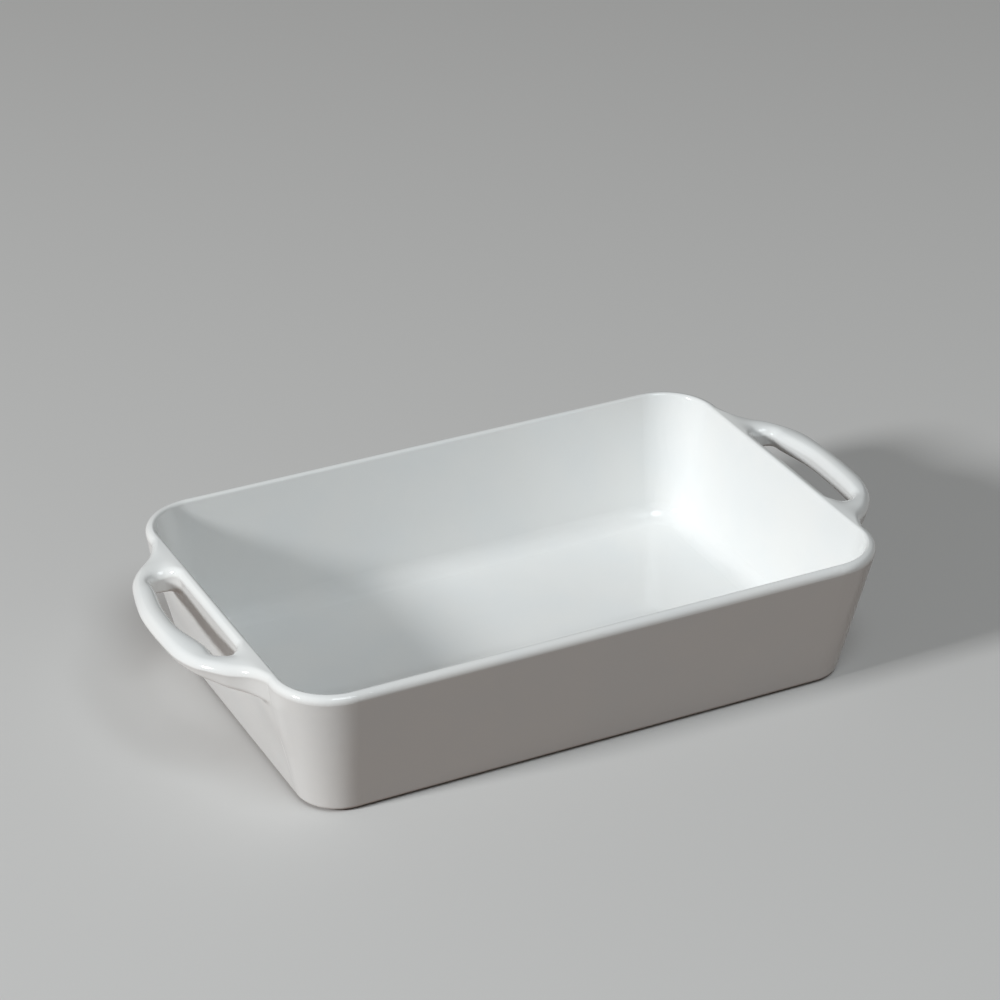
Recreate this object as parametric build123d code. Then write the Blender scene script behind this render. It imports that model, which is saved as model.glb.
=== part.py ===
from build123d import *
import math
import os

# A glazed stoneware lasagna dish. It stands on z = 0 with the middle of its foot at the origin and its
# long side along X. Lengths are in millimetres and angles in degrees.

# Tub
RIM_LENGTH = 358.5
RIM_WIDTH = 235.9
DISH_HEIGHT = 80.4
WALL_LEAN = 16.7             # how much further out the rim stands than the base, on every side
RIM_CORNER_RADIUS = 34.7
BASE_CORNER_RADIUS = 23.4
WALL_THICKNESS = 6.2
FLOOR_THICKNESS = 5.0
FLOOR_SWEEP_RADIUS = 12.0    # round between the floor and the walls inside
BASE_EDGE_RADIUS = 3.0
OUTER_ROUND_SHARE = 0.72     # part of the rim's top that its outer round takes up
INNER_ROUND_SHARE = 0.24     # part that its inner round takes up

# Foot ring
FOOT_HEIGHT = 1.0
FOOT_WIDTH = 5.0
FOOT_INSET = 7.0             # from the edge of the base to the ring
FOOT_EDGE_CHAMFER = 0.4

# Handles
HANDLE_REACH = 32.7          # from the end of the rim to the outside of the bar
BAR_WIDTH = 14.0
BAR_THICKNESS = 11.2
ROOT_THICKNESS = 14.0        # depth of the handle where it meets the wall
BAR_BOW_RADIUS = 360.0       # of the arc that the outside of the bar follows
SHOULDER_RADIUS = 40.0
ARM_ANGLE = 42.0             # between an arm and the end wall
ARM_WIDTH = 10.5             # between the slot's corner and the outside of an arm
FLARE_RADIUS = 42.0
FLARE_ANGLE = 18.0           # between the end of a flare and the end wall
FLARE_RUN = 0.8              # straight stretch of a flare before it meets the wall
HANDLE_CORNER_GAP = 3.0      # from the end of a flare to the start of the rim's corner
SLOT_BOW = 3.0               # how much further out the slot's outer side stands at its middle than at its ends
SLOT_END_FLAT = 0.5          # straight stretch of the slot's end between its two rounds
UNDER_EDGE_RADIUS = 4.5
SLOT_EDGE_RADIUS = 1.5
ROOT_BLEND_RADIUS = 7.0      # hollow round where a handle runs into the wall
ROOT_BURY = 2.5              # how far a flare runs on inside the wall
SEAT_STANDOFF = 0.4          # thickness of the pad on the wall that a handle is luted to

# Working allowances
OVERRUN = 20.0               # how far a cutter passes what it cuts
TOLERANCE = 0.01

half_length = RIM_LENGTH / 2
lean_ratio = WALL_LEAN / (DISH_HEIGHT - FOOT_HEIGHT)
lean_angle = math.degrees(math.atan(lean_ratio))
corner_growth = (RIM_CORNER_RADIUS - BASE_CORNER_RADIUS) / (DISH_HEIGHT - FOOT_HEIGHT)
floor_z = FOOT_HEIGHT + FLOOR_THICKNESS


def tangent(angle):
    return math.tan(math.radians(angle))


def sine(angle):
    return math.sin(math.radians(angle))


def tub_section(z, inset=0.0):
    """The tub's level outline at height z, inset evenly from its outer face."""
    drop = DISH_HEIGHT - z
    side_inset = drop * lean_ratio + inset
    corner = RIM_CORNER_RADIUS - drop * corner_growth - inset
    outline = RectangleRounded(RIM_LENGTH - 2 * side_inset, RIM_WIDTH - 2 * side_inset, corner)
    return Pos(0, 0, z) * outline


def level_edges(shape, z):
    """The edges of a shape that lie at height z."""
    return shape.edges().filter_by_position(Axis.Z, z - TOLERANCE, z + TOLERANCE)


def make_tub_block():
    block = loft([tub_section(FOOT_HEIGHT), tub_section(DISH_HEIGHT)], ruled=True)
    return fillet(level_edges(block, FOOT_HEIGHT), BASE_EDGE_RADIUS)


def make_cavity():
    low_section = tub_section(floor_z, WALL_THICKNESS)
    high_section = tub_section(DISH_HEIGHT + OVERRUN, WALL_THICKNESS)
    cavity = loft([low_section, high_section], ruled=True)
    return fillet(level_edges(cavity, floor_z), FLOOR_SWEEP_RADIUS)


def underside_z(x):
    """Height of the handle's underside, which rises from the wall to the bar."""
    rise = (ROOT_THICKNESS - BAR_THICKNESS) / HANDLE_REACH
    return DISH_HEIGHT - ROOT_THICKNESS + (x - half_length) * rise


# Plan of the handle at the +X end: where its flares bend into the arms, and the slot between the arms.
flare_end_y = RIM_WIDTH / 2 - RIM_CORNER_RADIUS - HANDLE_CORNER_GAP
flare_tangent = FLARE_RADIUS * tangent((ARM_ANGLE - FLARE_ANGLE) / 2) + FLARE_RUN
flare_x = half_length + flare_tangent * sine(FLARE_ANGLE)
flare_y = flare_end_y - flare_tangent * sine(90 - FLARE_ANGLE)
slot_reach = HANDLE_REACH - BAR_WIDTH
slot_end_reach = slot_reach - SLOT_BOW
slot_corner_radius = slot_end_reach - ROOT_BLEND_RADIUS - SLOT_END_FLAT
slot_corner_x = half_length + slot_end_reach - slot_corner_radius
arm_y = flare_y - (slot_corner_x - flare_x) / tangent(ARM_ANGLE)
slot_corner_y = arm_y - (ARM_WIDTH + slot_corner_radius) / sine(ARM_ANGLE)
slot_half_length = slot_corner_y + slot_corner_radius
block_depth = WALL_THICKNESS + OVERRUN


def bowed(face, reach, bow_radius):
    """A face cut back to an arc that bows outward to the given reach from the end wall."""
    return face & Pos(half_length + reach - bow_radius, 0, 0) * Circle(bow_radius)


def corners_between(face, low_x, high_x):
    return [corner for corner in face.vertices() if low_x < corner.X < high_x]


def handle_outline():
    """The bar, its two slanting arms, and the flares that run on inside the wall."""
    buried_y = flare_end_y + ROOT_BURY / tangent(FLARE_ANGLE)
    arms_meet_x = flare_x + flare_y * tangent(ARM_ANGLE)
    half_outline = [
        (half_length - block_depth, buried_y),
        (half_length - ROOT_BURY, buried_y),
        (flare_x, flare_y),
    ]
    mirrored = [(x, -y) for x, y in reversed(half_outline)]
    pointed = make_face(Polyline(*half_outline, (arms_meet_x, 0), *mirrored, close=True))
    face = bowed(pointed, HANDLE_REACH, BAR_BOW_RADIUS)
    shoulders = corners_between(face, half_length + HANDLE_REACH / 2, half_length + HANDLE_REACH)
    face = fillet(shoulders, SHOULDER_RADIUS)
    return fillet(corners_between(face, flare_x - TOLERANCE, flare_x + TOLERANCE), FLARE_RADIUS)


def slot_outline():
    """The finger slot, which starts inside the wall and has a bowed outer side."""
    depth = WALL_THICKNESS + slot_reach
    middle_x = half_length - WALL_THICKNESS + depth / 2
    bow_radius = (slot_half_length**2 + SLOT_BOW**2) / (2 * SLOT_BOW)
    face = bowed(Pos(middle_x, 0, 0) * Rectangle(depth, 2 * slot_half_length), slot_reach, bow_radius)
    return fillet(corners_between(face, half_length, half_length + HANDLE_REACH), slot_corner_radius)


def make_under_cutter():
    """All that lies below the handle's sloping underside."""
    inner_x = half_length - block_depth - OVERRUN
    outer_x = half_length + HANDLE_REACH + OVERRUN
    low_z = DISH_HEIGHT - ROOT_THICKNESS - 2 * OVERRUN
    corners = [
        (inner_x, underside_z(inner_x)),
        (outer_x, underside_z(outer_x)),
        (outer_x, low_z),
        (inner_x, low_z),
    ]
    profile = Plane.XZ * make_face(Polyline(*corners, close=True))
    return extrude(profile, amount=flare_end_y + OVERRUN, both=True)


def underside_of(block):
    """The face of a handle's block that looks most nearly straight down."""
    return block.faces().sort_by(lambda face: face.normal_at().Z)[0]


def make_handle_block():
    """A handle at the +X end, with its seat still running on inside the wall."""
    down = (0, 0, -1)
    block_height = ROOT_THICKNESS + OVERRUN
    block = extrude(Pos(0, 0, DISH_HEIGHT) * handle_outline(), block_height, dir=down, taper=lean_angle)
    block -= make_under_cutter()
    inner_wall_x = half_length - WALL_THICKNESS
    outer_edges = [edge for edge in underside_of(block).edges() if edge.center().X > inner_wall_x]
    block = fillet(outer_edges, UNDER_EDGE_RADIUS)
    slot_cut_height = ROOT_THICKNESS + 2 * OVERRUN
    block -= extrude(Pos(0, 0, DISH_HEIGHT + OVERRUN) * slot_outline(), slot_cut_height, dir=down)
    return fillet(underside_of(block).inner_wires()[0].edges(), SLOT_EDGE_RADIUS)


def top_wires(form):
    """The outer wire of the form's flat top, then its inner wires from the shortest to the longest."""
    top_face = form.faces().sort_by(Axis.Z)[-1]
    return [top_face.outer_wire(), *top_face.inner_wires().sort_by(SortBy.LENGTH)]


def round_rim(form):
    """Rounds the top of the walls and handles: broad outside and in the slots, narrow at the cavity."""
    outer_round = WALL_THICKNESS * OUTER_ROUND_SHARE * tangent((90 - lean_angle) / 2)
    inner_round = WALL_THICKNESS * INNER_ROUND_SHARE * tangent((90 + lean_angle) / 2)
    form = fillet(top_wires(form)[0].edges(), outer_round)
    slot_edges = [edge for wire in top_wires(form)[1:-1] for edge in wire.edges()]
    form = fillet(slot_edges, outer_round)
    return fillet(top_wires(form)[-1].edges(), inner_round)


def make_form():
    """The whole dish without its foot, as its surfaces run from the walls into the handles."""
    tub = make_tub_block()
    right_block = make_handle_block()
    left_block = mirror(right_block, Plane.YZ)
    form = tub + right_block + left_block
    root_edges = new_edges(tub, right_block, left_block, combined=form)
    form = fillet(root_edges, ROOT_BLEND_RADIUS)
    return round_rim(form - make_cavity())


def make_end_region(side):
    """The space beyond the seat that one handle is luted to, side being 1 or -1 along X."""
    top_z = DISH_HEIGHT + OVERRUN
    low_z = DISH_HEIGHT - ROOT_THICKNESS - ROOT_BLEND_RADIUS - OVERRUN
    far_x = half_length + HANDLE_REACH + OVERRUN
    seat_x = half_length + SEAT_STANDOFF
    top_x = seat_x + (top_z - DISH_HEIGHT) * lean_ratio
    low_x = seat_x - (DISH_HEIGHT - low_z) * lean_ratio
    corners = [(side * top_x, top_z), (side * far_x, top_z), (side * far_x, low_z), (side * low_x, low_z)]
    profile = Plane.XZ * make_face(Polyline(*corners, close=True))
    return extrude(profile, amount=RIM_WIDTH / 2 + OVERRUN, both=True)


def make_foot_ring():
    """The bare ring under the base, ground flat, with its two lower edges broken."""
    base = tub_section(FOOT_HEIGHT, FOOT_INSET)
    hollow = tub_section(FOOT_HEIGHT, FOOT_INSET + FOOT_WIDTH)
    ring = extrude(base - hollow, FOOT_HEIGHT, dir=(0, 0, -1))
    return chamfer(level_edges(ring, 0), FOOT_EDGE_CHAMFER)


def main():
    form = make_form()
    left_end = make_end_region(-1)
    right_end = make_end_region(1)
    pieces = {
        "dish_body": form - left_end - right_end,
        "handle_left": form & left_end,
        "handle_right": form & right_end,
        "foot_ring": make_foot_ring(),
    }
    os.makedirs("parts", exist_ok=True)
    for name, piece in pieces.items():
        export_step(piece, f"parts/{name}.step")


main()
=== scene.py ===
import math

import bpy
import numpy as np
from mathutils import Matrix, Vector


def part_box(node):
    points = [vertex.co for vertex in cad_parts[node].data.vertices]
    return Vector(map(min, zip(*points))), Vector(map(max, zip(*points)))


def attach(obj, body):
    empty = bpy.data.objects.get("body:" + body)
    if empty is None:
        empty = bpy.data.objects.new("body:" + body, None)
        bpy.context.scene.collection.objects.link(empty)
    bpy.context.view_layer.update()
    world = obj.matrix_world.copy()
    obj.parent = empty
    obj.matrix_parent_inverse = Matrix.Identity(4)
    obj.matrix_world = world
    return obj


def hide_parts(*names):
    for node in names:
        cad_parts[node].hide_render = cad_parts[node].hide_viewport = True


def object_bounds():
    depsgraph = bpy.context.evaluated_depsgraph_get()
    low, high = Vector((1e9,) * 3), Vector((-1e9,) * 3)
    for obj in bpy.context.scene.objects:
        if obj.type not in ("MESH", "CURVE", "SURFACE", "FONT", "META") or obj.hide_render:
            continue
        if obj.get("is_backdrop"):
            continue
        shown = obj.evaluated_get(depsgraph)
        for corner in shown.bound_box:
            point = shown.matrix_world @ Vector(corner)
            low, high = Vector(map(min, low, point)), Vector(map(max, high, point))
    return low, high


# A white glazed stoneware lasagna dish on a plain pale floor. Lengths are in metres and angles in degrees.

# Plan of the handles, as in the CAD solids
RIM_HALF_LENGTH = 0.17925
RIM_HEIGHT = 0.0804
BAR_WIDTH = 0.0140
BAR_BOW_RADIUS = 0.360
SHOULDER_SOFTNESS = 0.0106      # stretch over which the bar's outside turns into an arm's
FLARE_SOFTNESS = 0.0037         # the same between an arm and its flare
ARM_ANGLE = 42.0
FLARE_ANGLE = 18.0
FLARE_BEND = (0.18226, 0.0710)  # where the lines of a flare and its arm cross, out from the middle
SLOT_HALF_LENGTH = 0.0463
SLOT_BOW_RADIUS = 0.358
SLOT_CORNER_RADIUS = 0.0082

# Crown of the handles, which the firing leaves softer than the solids' edges
CROWN_DEPTH = 0.0034            # how far the top falls at an edge
CROWN_REACH = 0.0110            # from an edge to where the fall ends
CROWN_LEAD = 0.0030             # from where the crown starts to set in, inside the end of the rim
CROWN_FADE = 0.0120             # to where it is full, outside it
CROWN_TOP = 0.0010              # depths below the rim between which the fall dies out
CROWN_FOOT = 0.0115
VALLEY_DEPTH = 0.0009           # dip between the rim and an arm's root, at the end of the slot
VALLEY_OUT = 0.0055             # from the rim's edge to the middle of the dip
VALLEY_HALF_WIDTH = 0.0060
VALLEY_HALF_LENGTH = 0.0200
FACET_LENGTH = 0.0016           # longest side of a triangle where the surface moves
LEAST_MOVE = 0.00002            # movement that counts
SLOPE_STEP = 0.00002            # step over which slopes are measured

# Unevenness of the handles, which are luted on by hand
PINCH_DEPTHS = (0.0050, 0.0030) # of the left slot at its near end, and of the right one at its far end
PINCH_START = 0.0050            # distances from the slot's middle between which the pinch sets in
PINCH_FULL = 0.0400
PINCH_FADE = 0.0520             # and between which it dies out
PINCH_END = 0.0720
PINCH_RIM_GAP = 0.0020          # from the end of the rim to where the pinch starts
PINCH_SPAN = 0.0120             # stretch over which it grows, from the rim and from the handle's outside
SHOULDER_DRAW = 0.0025          # how much further in the left handle's far shoulder stands
SHOULDER_OUT = 0.0250           # stretch outward over which that sets in
SHOULDER_MIDDLE = 0.0340        # its place along the handle, and how far it reaches to either side
SHOULDER_SPREAD = 0.0150
ARM_SWELL = 0.0023              # how much wider the arms are on their outside
ARM_OUT = 0.0120                # stretch outward over which that sets in
ARM_MIDDLE = 0.0570             # its place along the handle, and how far it reaches to either side
ARM_SPREAD = 0.0120
ARM_SKIN = 0.0030               # distances in from the outside between which the swell dies out
ARM_CORE = 0.0140
ROOT_DROPS = (0.0045, 0.0020)   # how much lower the left and the right handle's roots reach
ROOT_START = 0.0300             # distances along the handle between which that sets in
ROOT_FULL = 0.0750
ROOT_FADE = 0.0850              # and between which it dies out
ROOT_END = 0.1100
ROOT_TOP = (0.0040, 0.0120)     # depths below the rim between which it sets in
ROOT_FOOT = (0.0220, 0.0550)    # and between which it dies out
WALL_LEAN_RATIO = 0.2103        # how far the outside of a wall goes in for each length down
WALL_DEPTH = 0.0040             # stretch inside the wall over which it dies out

# Camera
CAMERA_PLACE = (-0.7210, -1.4295, 0.9748)
CAMERA_TURN = 26.59             # clockwise from +Y, seen from above
CAMERA_DIP = 28.65              # below level
LENS_MM = 120.4
SENSOR_MM = 36.0

# Key lamp, which shines along the dish from its left end
KEY_TURN = 5.0                  # from the -X direction towards -Y
KEY_HEIGHT = 25.5               # above level
KEY_DISTANCE = 4.6
KEY_SIZE = 0.74
KEY_WATTS = 165.0
KEY_COLOR = (0.965, 0.99, 1.0)

# Fill lamp, broad and weak, high up in front of the dish
FILL_PLACE = (0.0, -1.95, 3.38)
FILL_SIZE = 2.1
FILL_WATTS = 58.0
FILL_COLOR = (0.89, 0.965, 1.0)

# Surroundings
WORLD_COLOR = (1.0, 0.91, 0.84)
WORLD_STRENGTH = 0.11
FLOOR_RADIUS = 6.0
FLOOR_SIDES = 96
FLOOR_SHOWN = (0.62, 0.61, 0.60)
FLOOR_BOUNCE = (0.19, 0.13, 0.10)
FLOOR_ROUGHNESS = 0.9
FLOOR_SPECULAR = 0.2

# Glaze
GLAZE_COLOR = (0.825, 0.828, 0.818)
GLAZE_TINT = (0.805, 0.817, 0.815)
GLAZE_ROUGHNESS = (0.05, 0.12)
GLAZE_IOR = 1.5
GLAZE_CLOUD_SIZE = 0.045
GLAZE_CLOUD_SPAN = (0.35, 0.7)  # part of the noise that runs from the one colour to the other
GLAZE_SHEEN_SIZE = 0.015
GLAZE_SHEEN_SPAN = (0.3, 0.75)
PEEL_SIZE = 0.0032
PEEL_DEPTH = 0.000004
WAVE_SIZE = 0.028
WAVE_DEPTH = 0.00006

# Bare stoneware
CLAY_COLOR = (0.60, 0.52, 0.42)
CLAY_DARK = (0.42, 0.35, 0.27)
CLAY_GRAIN_SIZE = 0.0007
CLAY_GRAIN_ROUGHNESS = 0.65
CLAY_CLOUD_SIZE = 0.012
CLAY_CLOUD_SPAN = (0.3, 0.7)
CLAY_CLOUD_SHARE = 0.5          # of the dark colour, where a cloud is darkest
CLAY_SPECK_SPAN = (0.58, 0.72)
CLAY_SPECK_SHARE = 0.7
CLAY_ROUGHNESS = 0.88
CLAY_DEPTH = 0.00008


class Shader:
    """A node material that is built up one node at a time."""

    def __init__(self, name):
        self.material = bpy.data.materials.new(name)
        self.material.use_nodes = True
        self.tree = self.material.node_tree
        self.surface = self.tree.nodes["Principled BSDF"]
        self.place = self.tree.nodes.new("ShaderNodeTexCoord").outputs["Object"]

    def link(self, source, target):
        self.tree.links.new(source, target)

    def noise(self, size, detail=2.0, roughness=0.5):
        node = self.tree.nodes.new("ShaderNodeTexNoise")
        node.inputs["Scale"].default_value = 1 / size
        node.inputs["Detail"].default_value = detail
        node.inputs["Roughness"].default_value = roughness
        self.link(self.place, node.inputs["Vector"])
        return node.outputs["Fac"]

    def spread(self, value, low, high, to_low, to_high):
        """The value's span from low to high, stretched to run from to_low to to_high."""
        node = self.tree.nodes.new("ShaderNodeMapRange")
        node.interpolation_type = "SMOOTHSTEP"
        sockets = ("From Min", "From Max", "To Min", "To Max")
        for socket, number in zip(sockets, (low, high, to_low, to_high)):
            node.inputs[socket].default_value = number
        self.link(value, node.inputs["Value"])
        return node.outputs["Result"]

    def mix(self, share, first, second):
        node = self.tree.nodes.new("ShaderNodeMix")
        node.data_type = "RGBA"
        self.link(share, node.inputs["Factor"])
        for name, color in (("A", first), ("B", second)):
            socket = [s for s in node.inputs if s.name == name and s.type == "RGBA"][0]
            if isinstance(color, bpy.types.NodeSocket):
                self.link(color, socket)
            else:
                socket.default_value = (*color, 1.0)
        return [s for s in node.outputs if s.type == "RGBA"][0]

    def bump(self, height, depth, under=None):
        node = self.tree.nodes.new("ShaderNodeBump")
        node.inputs["Distance"].default_value = depth
        self.link(height, node.inputs["Height"])
        if under is not None:
            self.link(under, node.inputs["Normal"])
        return node.outputs["Normal"]


def make_glaze():
    glaze = Shader("white_glaze_finish")
    cloud = glaze.noise(GLAZE_CLOUD_SIZE, detail=3.0)
    color = glaze.mix(glaze.spread(cloud, *GLAZE_CLOUD_SPAN, 0.0, 1.0), GLAZE_COLOR, GLAZE_TINT)
    glaze.link(color, glaze.surface.inputs["Base Color"])
    sheen = glaze.noise(GLAZE_SHEEN_SIZE, detail=4.0)
    roughness = glaze.spread(sheen, *GLAZE_SHEEN_SPAN, *GLAZE_ROUGHNESS)
    glaze.link(roughness, glaze.surface.inputs["Roughness"])
    wave = glaze.bump(glaze.noise(WAVE_SIZE, detail=1.0), WAVE_DEPTH)
    peel = glaze.bump(glaze.noise(PEEL_SIZE, detail=1.5), PEEL_DEPTH, wave)
    glaze.link(peel, glaze.surface.inputs["Normal"])
    glaze.surface.inputs["IOR"].default_value = GLAZE_IOR
    return glaze.material


def make_clay():
    clay = Shader("bare_stoneware_finish")
    grain = clay.noise(CLAY_GRAIN_SIZE, detail=4.0, roughness=CLAY_GRAIN_ROUGHNESS)
    cloud = clay.noise(CLAY_CLOUD_SIZE, detail=3.0)
    base = clay.mix(clay.spread(cloud, *CLAY_CLOUD_SPAN, 0.0, CLAY_CLOUD_SHARE), CLAY_COLOR, CLAY_DARK)
    specks = clay.mix(clay.spread(grain, *CLAY_SPECK_SPAN, 0.0, CLAY_SPECK_SHARE), base, CLAY_DARK)
    clay.link(specks, clay.surface.inputs["Base Color"])
    clay.link(clay.bump(grain, CLAY_DEPTH), clay.surface.inputs["Normal"])
    clay.surface.inputs["Roughness"].default_value = CLAY_ROUGHNESS
    return clay.material


def make_floor_finish():
    """Pale where the camera, gloss or glass sees it, and darker in the light that it throws back."""
    floor = Shader("floor_finish")
    rays = floor.tree.nodes.new("ShaderNodeLightPath").outputs
    seen = rays["Is Camera Ray"]
    for name in ("Is Glossy Ray", "Is Transmission Ray"):
        node = floor.tree.nodes.new("ShaderNodeMath")
        node.operation = "MAXIMUM"
        floor.link(seen, node.inputs[0])
        floor.link(rays[name], node.inputs[1])
        seen = node.outputs["Value"]
    floor.link(floor.mix(seen, FLOOR_BOUNCE, FLOOR_SHOWN), floor.surface.inputs["Base Color"])
    floor.surface.inputs["Roughness"].default_value = FLOOR_ROUGHNESS
    floor.surface.inputs["Specular IOR Level"].default_value = FLOOR_SPECULAR
    return floor.material


def make_floor():
    mesh = bpy.data.meshes.new("floor")
    turns = [2 * math.pi * i / FLOOR_SIDES for i in range(FLOOR_SIDES)]
    rim = [(FLOOR_RADIUS * math.cos(turn), FLOOR_RADIUS * math.sin(turn), 0.0) for turn in turns]
    mesh.from_pydata(rim, [], [tuple(range(FLOOR_SIDES))])
    mesh.materials.append(make_floor_finish())
    floor = bpy.data.objects.new("floor", mesh)
    bpy.context.scene.collection.objects.link(floor)
    floor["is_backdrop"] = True


def add_lamp(name, place, aim, size, watts, color):
    data = bpy.data.lights.new(name, "AREA")
    data.shape = "DISK"
    data.size = size
    data.energy = watts
    data.color = color
    lamp = bpy.data.objects.new(name, data)
    lamp.location = place
    lamp.rotation_euler = (Vector(aim) - Vector(place)).to_track_quat("-Z", "Y").to_euler()
    bpy.context.scene.collection.objects.link(lamp)


def light_scene():
    low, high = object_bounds()
    middle = (low + high) / 2
    turn, height = math.radians(KEY_TURN), math.radians(KEY_HEIGHT)
    level = math.cos(height)
    key_way = Vector((-math.cos(turn) * level, -math.sin(turn) * level, math.sin(height)))
    add_lamp("key_lamp", middle + KEY_DISTANCE * key_way, middle, KEY_SIZE, KEY_WATTS, KEY_COLOR)
    add_lamp("fill_lamp", FILL_PLACE, middle, FILL_SIZE, FILL_WATTS, FILL_COLOR)
    world = bpy.data.worlds.new("surroundings")
    world.use_nodes = True
    bpy.context.scene.world = world
    tree = world.node_tree
    background = tree.nodes["Background"]
    background.inputs["Color"].default_value = (*WORLD_COLOR, 1.0)
    background.inputs["Strength"].default_value = WORLD_STRENGTH


def add_camera():
    data = bpy.data.cameras.new("camera")
    data.lens = LENS_MM
    data.sensor_width = SENSOR_MM
    camera = bpy.data.objects.new("camera", data)
    turn, dip = math.radians(CAMERA_TURN), math.radians(CAMERA_DIP)
    look = Vector((math.sin(turn) * math.cos(dip), math.cos(turn) * math.cos(dip), -math.sin(dip)))
    camera.location = CAMERA_PLACE
    camera.rotation_euler = look.to_track_quat("-Z", "Y").to_euler()
    bpy.context.scene.collection.objects.link(camera)
    bpy.context.scene.camera = camera


def dress(node, finish):
    """Gives a CAD node its finish."""
    for index in range(len(node.data.materials)):
        node.data.materials[index] = finish


def smooth_step(values, start, end):
    share = np.clip((values - start) / (end - start), 0.0, 1.0)
    return share * share * (3.0 - 2.0 * share)


def soft_least(first, second, softness):
    """The lesser of two distances, rounded off where they are nearly equal."""
    share = np.clip(0.5 + 0.5 * (second - first) / softness, 0.0, 1.0)
    return second + (first - second) * share - softness * share * (1.0 - share)


def hump(values, middle, reach):
    """A share that is 1 in the middle and falls off smoothly to either side."""
    return np.exp(-(((values - middle) / reach) ** 2))


def inward_of_line(out, along, angle):
    """Distance inward from a line through a flare's bend, at an angle to the end wall."""
    turn = math.radians(angle)
    return (FLARE_BEND[0] - out) * math.cos(turn) + (FLARE_BEND[1] - along) * math.sin(turn)


def outer_distance(out, along):
    """Distance in plan inward from the outside of a handle."""
    bow = BAR_BOW_RADIUS - np.hypot(out - bar_tip + BAR_BOW_RADIUS, along)
    arm = inward_of_line(out, along, ARM_ANGLE)
    flare = inward_of_line(out, along, FLARE_ANGLE)
    side = -soft_least(-arm, -flare, FLARE_SOFTNESS)
    return soft_least(bow, side, SHOULDER_SOFTNESS)


def slot_distance(out, along):
    """Distance in plan from the outer side and the end of a handle's slot."""
    side = np.hypot(out - bar_tip + BAR_WIDTH + SLOT_BOW_RADIUS, along) - SLOT_BOW_RADIUS
    end = along - SLOT_HALF_LENGTH
    corner = np.hypot(np.maximum(side + SLOT_CORNER_RADIUS, 0.0), np.maximum(end + SLOT_CORNER_RADIUS, 0.0))
    return corner - SLOT_CORNER_RADIUS


def slope_off(distance):
    """A share that falls smoothly from 1 at an edge to 0 where the crown ends."""
    return (1.0 - np.clip(distance / CROWN_REACH, 0.0, 1.0)) ** 2


def sink(points):
    """How far down each point goes to crown the handles and to part their roots from the rim."""
    out, along, height = np.abs(points[:, 0]), np.abs(points[:, 1]), points[:, 2]
    crown = CROWN_DEPTH * (slope_off(outer_distance(out, along)) + slope_off(slot_distance(out, along)))
    crown *= smooth_step(out, RIM_HALF_LENGTH - CROWN_LEAD, RIM_HALF_LENGTH + CROWN_FADE)
    across = (out - RIM_HALF_LENGTH - VALLEY_OUT) / VALLEY_HALF_WIDTH
    beside = (along - SLOT_HALF_LENGTH) / VALLEY_HALF_LENGTH
    valley = VALLEY_DEPTH * np.exp(-across**2 - beside**2)
    return (crown + valley) * smooth_step(height, RIM_HEIGHT - CROWN_FOOT, RIM_HEIGHT - CROWN_TOP)


def draw_in(points):
    """How far each point goes in towards the dish, to narrow a slot's end or a shoulder."""
    left = points[:, 0] < 0
    out, along = np.abs(points[:, 0]), np.where(left, -points[:, 1], points[:, 1])
    start = RIM_HALF_LENGTH + PINCH_RIM_GAP
    across = smooth_step(out, start, start + PINCH_SPAN)
    across *= smooth_step(outer_distance(out, np.abs(along)), 0.0, PINCH_SPAN)
    lengthwise = smooth_step(along, PINCH_START, PINCH_FULL) - smooth_step(along, PINCH_FADE, PINCH_END)
    pinch = np.where(left, *PINCH_DEPTHS) * across * lengthwise
    shoulder = left * SHOULDER_DRAW * hump(-along, SHOULDER_MIDDLE, SHOULDER_SPREAD)
    shoulder *= smooth_step(out, RIM_HALF_LENGTH, RIM_HALF_LENGTH + SHOULDER_OUT)
    swell = ARM_SWELL * hump(np.abs(along), ARM_MIDDLE, ARM_SPREAD)
    swell *= smooth_step(out, RIM_HALF_LENGTH, RIM_HALF_LENGTH + ARM_OUT)
    swell *= 1.0 - smooth_step(outer_distance(out, np.abs(along)), ARM_SKIN, ARM_CORE)
    return pinch + shoulder - swell


def root_drop(points):
    """How far down each point goes to make the handles' roots deeper."""
    along, depth = np.abs(points[:, 1]), RIM_HEIGHT - points[:, 2]
    wall_gap = np.abs(points[:, 0]) + depth * WALL_LEAN_RATIO - RIM_HALF_LENGTH
    drop = np.where(points[:, 0] < 0, *ROOT_DROPS)
    drop *= smooth_step(along, ROOT_START, ROOT_FULL) - smooth_step(along, ROOT_FADE, ROOT_END)
    drop *= smooth_step(depth, *ROOT_TOP) - smooth_step(depth, *ROOT_FOOT)
    return drop * smooth_step(wall_gap, -WALL_DEPTH, 0.0)


def moved(points):
    """The points where the firing and the potter's hand leave them."""
    places = points.copy()
    places[:, 0] -= np.sign(points[:, 0]) * draw_in(points)
    places[:, 2] -= sink(points) + root_drop(points)
    return places


def turned(points, normals):
    """The surface directions once the points have moved."""
    slopes = np.empty((len(points), 3, 3))
    for axis in range(3):
        step = np.zeros(3)
        step[axis] = SLOPE_STEP
        slopes[:, axis] = (moved(points + step) - moved(points - step)) / (2 * SLOPE_STEP)
    directions = np.linalg.solve(slopes, normals[:, :, None])[:, :, 0]
    return directions / np.linalg.norm(directions, axis=1)[:, None]


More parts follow.
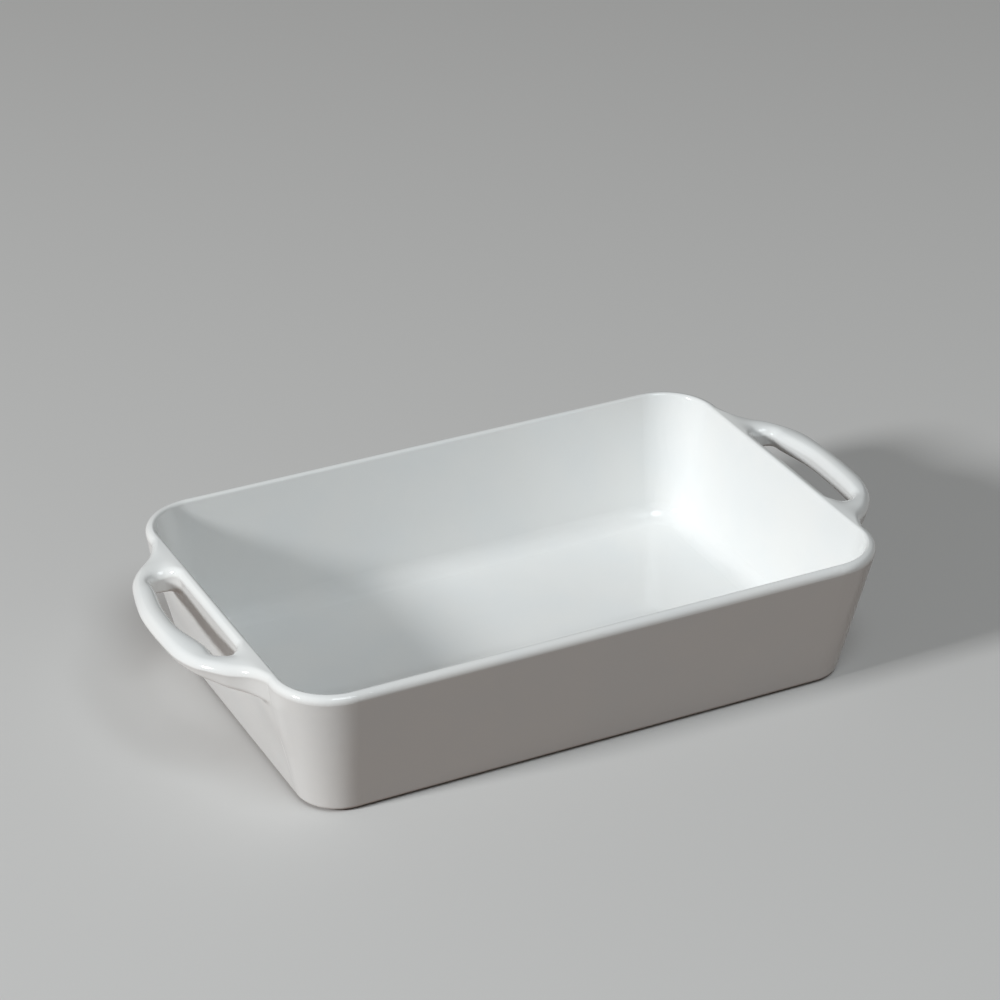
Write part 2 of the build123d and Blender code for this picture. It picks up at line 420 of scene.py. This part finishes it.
def read_surface(node):
    """A node's points, the surface direction at each, and its triangles."""
    mesh = node.data
    points = np.empty((len(mesh.vertices), 3))
    mesh.vertices.foreach_get("co", points.ravel())
    corners = np.empty(len(mesh.loops), dtype=int)
    mesh.loops.foreach_get("vertex_index", corners)
    corner_normals = np.empty((len(mesh.loops), 3))
    mesh.corner_normals.foreach_get("vector", corner_normals.ravel())
    normals = np.empty_like(points)
    normals[corners] = corner_normals
    mesh.calc_loop_triangles()
    triangles = np.empty((len(mesh.loop_triangles), 3), dtype=int)
    mesh.loop_triangles.foreach_get("vertices", triangles.ravel())
    return points, normals, triangles


def roll_rows(rows, shifts):
    places = (np.arange(3) + shifts[:, None]) % 3
    return np.take_along_axis(rows, places, axis=1)


def split_once(points, normals, triangles):
    """Halves the triangles' long sides where the surface moves, and says whether there were any."""
    sides = np.sort(triangles[:, [[0, 1], [1, 2], [2, 0]]], axis=2)
    edges, owners = np.unique(sides.reshape(-1, 2), axis=0, return_inverse=True)
    ends = points[edges]
    middles = ends.mean(axis=1)
    long = np.linalg.norm(ends[:, 0] - ends[:, 1], axis=1) > FACET_LENGTH
    chosen = long & (np.linalg.norm(moved(middles) - middles, axis=1) > LEAST_MOVE)
    if not chosen.any():
        return points, normals, triangles, False
    numbers = np.where(chosen, len(points) + np.cumsum(chosen) - 1, -1)
    mids = numbers[owners.reshape(-1, 3)]
    points = np.concatenate([points, middles[chosen]])
    normals = np.concatenate([normals, normals[edges[chosen]].mean(axis=1)])
    normals /= np.linalg.norm(normals, axis=1)[:, None]
    parts = []
    for count in range(4):
        rows = (mids >= 0).sum(axis=1) == count
        halves = mids[rows]
        if count == 1:
            shifts = np.argmax(halves >= 0, axis=1)
        elif count == 2:
            shifts = np.argmin(halves, axis=1) + 1
        else:
            shifts = np.zeros(len(halves), dtype=int)
        a, b, c = roll_rows(triangles[rows], shifts).T
        ab, bc, ca = roll_rows(halves, shifts).T
        pieces = (
            [(a, b, c)],
            [(a, ab, c), (ab, b, c)],
            [(ab, b, bc), (a, ab, bc), (a, bc, c)],
            [(a, ab, ca), (ab, b, bc), (ca, bc, c), (ab, bc, ca)],
        )[count]
        parts += [np.stack(piece, axis=1) for piece in pieces]
    return points, normals, np.concatenate(parts), True


def soften(name):
    """Puts a glazed skin with crowned handles in the place of a node."""
    points, normals, triangles = read_surface(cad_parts[name])
    going = True
    while going:
        points, normals, triangles, going = split_once(points, normals, triangles)
    mesh = bpy.data.meshes.new(f"{name}_skin")
    mesh.from_pydata(moved(points).tolist(), [], triangles.tolist())
    mesh.shade_smooth()
    mesh.normals_split_custom_set_from_vertices(turned(points, normals).tolist())
    mesh.materials.append(glaze)
    skin = bpy.data.objects.new(f"{name}_skin", mesh)
    bpy.context.scene.collection.objects.link(skin)
    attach(skin, "root")
    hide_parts(name)


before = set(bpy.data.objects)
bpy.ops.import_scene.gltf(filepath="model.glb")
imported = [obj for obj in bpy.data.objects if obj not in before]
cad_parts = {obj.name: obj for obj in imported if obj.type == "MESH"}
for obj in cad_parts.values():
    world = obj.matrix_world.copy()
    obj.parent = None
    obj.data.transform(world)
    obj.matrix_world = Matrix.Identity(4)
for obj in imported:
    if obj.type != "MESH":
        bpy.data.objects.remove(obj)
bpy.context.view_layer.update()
bar_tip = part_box("handle_right")[1][0]

glaze = make_glaze()
for name in ("dish_body", "handle_left", "handle_right"):
    soften(name)
dress(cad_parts["foot_ring"], make_clay())

make_floor()
light_scene()
add_camera()
bpy.context.scene.view_settings.view_transform = "Standard"
